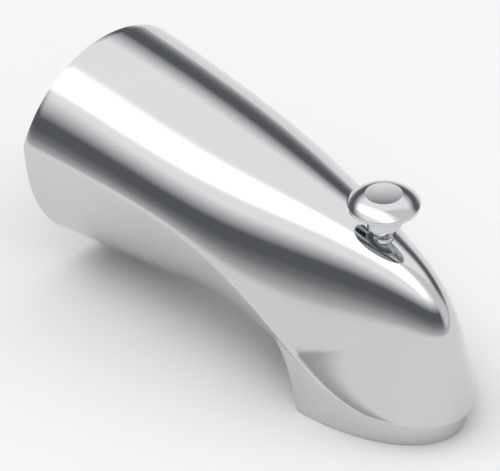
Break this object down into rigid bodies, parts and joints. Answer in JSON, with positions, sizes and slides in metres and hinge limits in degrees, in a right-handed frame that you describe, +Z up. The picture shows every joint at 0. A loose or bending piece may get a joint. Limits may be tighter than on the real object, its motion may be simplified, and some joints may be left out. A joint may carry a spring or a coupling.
{
  "type": "bath spout",
  "caption": "Wall-mounted bath spout: a chromed, creased hollow body with a rounded nose, a D-shaped outlet below it and a lift-up diverter knob on top.",
  "frame": {"origin": "on the supply pipe's axis, in the plane of the wall", "axes": "+Z up, +Y into the wall, so the nose points along -Y, and +X to the right of someone facing the wall"},
  "size_m": [0.069, 0.1515, 0.0746],
  "materials": {
    "polished_chrome": "polished",
    "bare_brass": "machined",
    "black_rubber": "matte",
    "stainless_steel": "machined",
    "white_plastic": "moulded",
    "grey_plastic": "moulded",
    "grey_foam": "closed-cell foam"
  },
  "bodies": {
    "spout": {"spout_body": "polished_chrome", "wall_gasket": "grey_foam", "pipe_adapter": "bare_brass", "rear_pipe_o_ring": "black_rubber", "front_pipe_o_ring": "black_rubber", "set_screw": "stainless_steel", "waterway_tube": "bare_brass", "tube_o_ring": "black_rubber", "diverter_housing": "white_plastic", "housing_screws": "stainless_steel", "housing_gasket": "black_rubber", "housing_cover": "white_plastic", "cover_screws": "stainless_steel", "stem_bushing": "polished_chrome", "stem_o_ring": "black_rubber"},
    "diverter": {"diverter_knob": "polished_chrome", "lift_stem": "stainless_steel", "diverter_gate": "grey_plastic", "gate_washer": "black_rubber", "gate_screw": "stainless_steel"}
  },
  "joints": [
    {"name": "diverter_lift", "type": "slide", "parent": "spout", "child": "diverter", "axis": [0, 0, 1], "range_m": [0, 0.013]}
  ]
}
